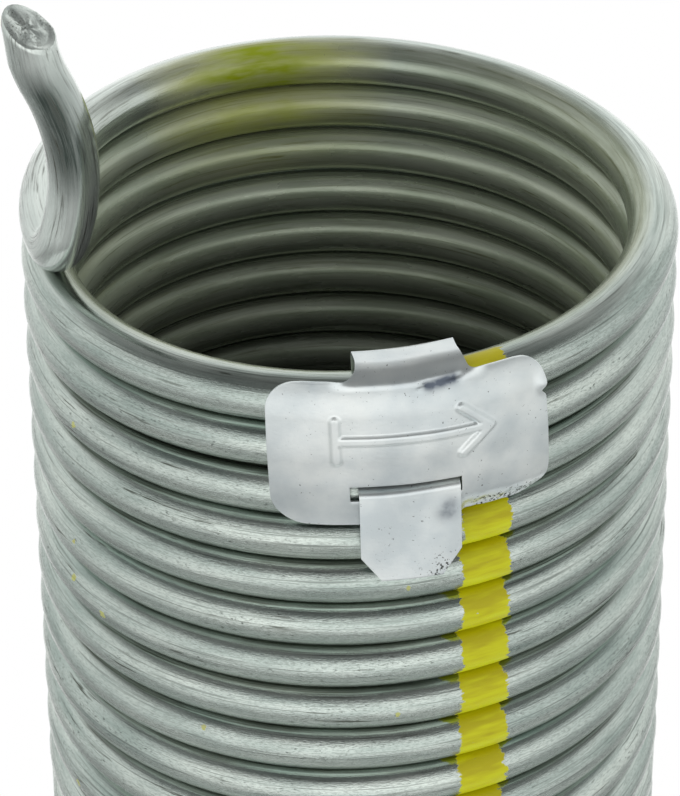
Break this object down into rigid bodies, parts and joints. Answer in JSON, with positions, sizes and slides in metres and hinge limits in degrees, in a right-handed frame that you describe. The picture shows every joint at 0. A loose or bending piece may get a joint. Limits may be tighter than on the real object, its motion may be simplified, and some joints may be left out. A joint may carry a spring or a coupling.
{
  "type": "garage door torsion spring",
  "caption": "Close-wound torsion spring for a sectional garage door, with a hook bent up at each end and a folded sheet-metal tag clipped over the upper turns.",
  "frame": {"origin": "on the coil's axis, in the plane of the coil's lower end face, where the lower plug's collar stops", "axes": "+Z along the coil from the lower end to the upper end; -Y faces the front, where the tag is; both hooks leave the coil on the -X side"},
  "size_m": [0.0792, 0.0802, 0.6605],
  "materials": {
    "spring_wire": "satin",
    "tag_sheet": "satin"
  },
  "bodies": {
    "root": {"spring": "spring_wire", "tag": "tag_sheet"}
  },
  "joints": []
}
